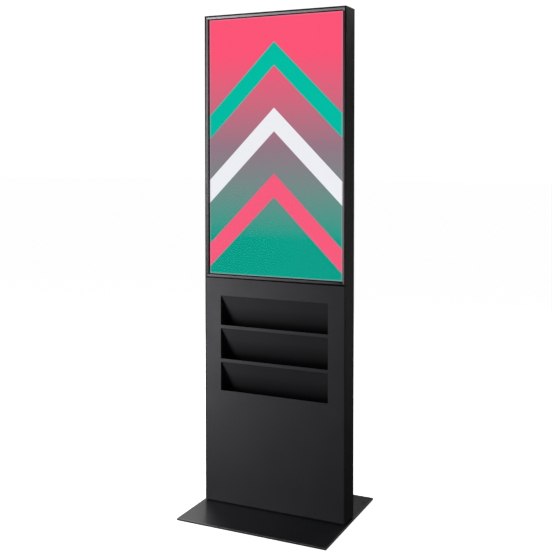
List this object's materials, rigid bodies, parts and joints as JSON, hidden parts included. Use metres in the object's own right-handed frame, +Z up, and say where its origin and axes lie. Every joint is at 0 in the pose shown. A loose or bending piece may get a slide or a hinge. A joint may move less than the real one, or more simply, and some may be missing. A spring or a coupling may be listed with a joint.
{
  "type": "touchscreen kiosk",
  "caption": "Free-standing display kiosk: tall portrait touch screen over three slanted leaflet pockets, on a flat floor plate, with a hinged lockable rear service door.",
  "frame": {"origin": "on the floor under the middle of the base plate", "axes": "+X to the right of a person facing the screen, -Y out of the screen towards that person, +Z up"},
  "size_m": [0.575, 0.48, 1.82],
  "materials": {
    "mat_rubber": "matt ribbed rubber",
    "plate_steel": "fine-texture powder coat, charcoal",
    "zinc_steel": "zinc plated",
    "plinth_black": "matt black paint",
    "frame_steel": "black primer",
    "galvanised": "galvanised sheet",
    "profile_coat": "satin powder coat, near black",
    "panel_coat": "fine-texture powder coat, charcoal grey",
    "tray_coat": "fine-texture powder coat, charcoal grey",
    "surround_black": "satin black",
    "bezel_grey": "satin anodised grey",
    "circuit_board": "solder mask green",
    "cover_glass": "tempered clear glass",
    "foam_black": "closed-cell foam",
    "screen": "lit display picture",
    "diffuser": "opal",
    "dark_plastic": "moulded black",
    "led_strip": "white board with lenses",
    "brass_standoff": "machined",
    "player_case": "anodised dark grey",
    "cover_coat": "fine-texture powder coat",
    "screw_black": "black oxide",
    "hinge_steel": "painted with the door",
    "lock_chrome": "polished",
    "rocker_plastic": "moulded black",
    "lead_jacket": "black jacket"
  },
  "bodies": {
    "root": {"backlight_bars": "led_strip", "base_plate": "plate_steel", "base_screws": "zinc_steel", "board_standoffs": "brass_standoff", "cover_glass": "cover_glass", "cover_screws": "screw_black", "cross_tube_lower": "frame_steel", "cross_tube_middle": "frame_steel", "diffuser_plate": "diffuser", "display_chassis": "galvanised", "display_crossbars": "frame_steel", "display_mains_lead": "lead_jacket", "display_rails": "galvanised", "display_surround": "surround_black", "equipment_shelf": "galvanised", "floor_mat": "mat_rubber", "floor_pan": "galvanised", "frame_brackets": "galvanised", "glass_gasket": "foam_black", "hinge_frame_halves": "hinge_steel", "hinge_pins": "zinc_steel", "lead_clips": "dark_plastic", "lower_front_panel": "panel_coat", "main_board": "circuit_board", "mains_inlet": "dark_plastic", "media_player": "player_case", "panel_clips": "galvanised", "panel_mid_frame": "dark_plastic", "plinth_frame": "plinth_black", "pocket_cheek_left": "tray_coat", "pocket_cheek_right": "tray_coat", "power_board": "circuit_board", "rail_screws": "zinc_steel", "rear_sill": "cover_coat", "screen_panel": "screen", "service_leads": "lead_jacket", "side_profile_left": "profile_coat", "side_profile_right": "profile_coat", "signal_leads": "lead_jacket", "socket_strip": "dark_plastic", "speaker_leads": "lead_jacket", "speakers": "dark_plastic", "stud_nuts": "zinc_steel", "top_cap": "profile_coat", "touch_controller": "circuit_board", "touch_frame": "bezel_grey", "touch_sensor_strips": "circuit_board", "tray_lower": "tray_coat", "tray_middle": "tray_coat", "tray_upper": "tray_coat", "upper_rear_cover": "cover_coat", "upright_left": "frame_steel", "upright_right": "frame_steel"},
    "door": {"service_door": "cover_coat", "door_stiffeners": "galvanised", "hinge_door_halves": "hinge_steel", "lock_barrel": "lock_chrome"},
    "lock_turn": {"lock_plug": "lock_chrome", "lock_cam": "zinc_steel"},
    "rocker": {"power_rocker": "rocker_plastic"}
  },
  "joints": [
    {"name": "service_door_hinge", "type": "hinge", "parent": "root", "child": "door", "pos_m": [-0.276, 0.047, 0.46], "axis": [0, 0, 1], "range_deg": [0, 110]},
    {"name": "lock_turn", "type": "hinge", "parent": "door", "child": "lock_turn", "pos_m": [0.222, 0.042, 0.445], "axis": [0, -1, 0], "range_deg": [0, 90]},
    {"name": "power_switch", "type": "hinge", "parent": "root", "child": "rocker", "pos_m": [0.1365, 0.042, 0.042], "axis": [1, 0, 0], "range_deg": [0, 20]}
  ]
}
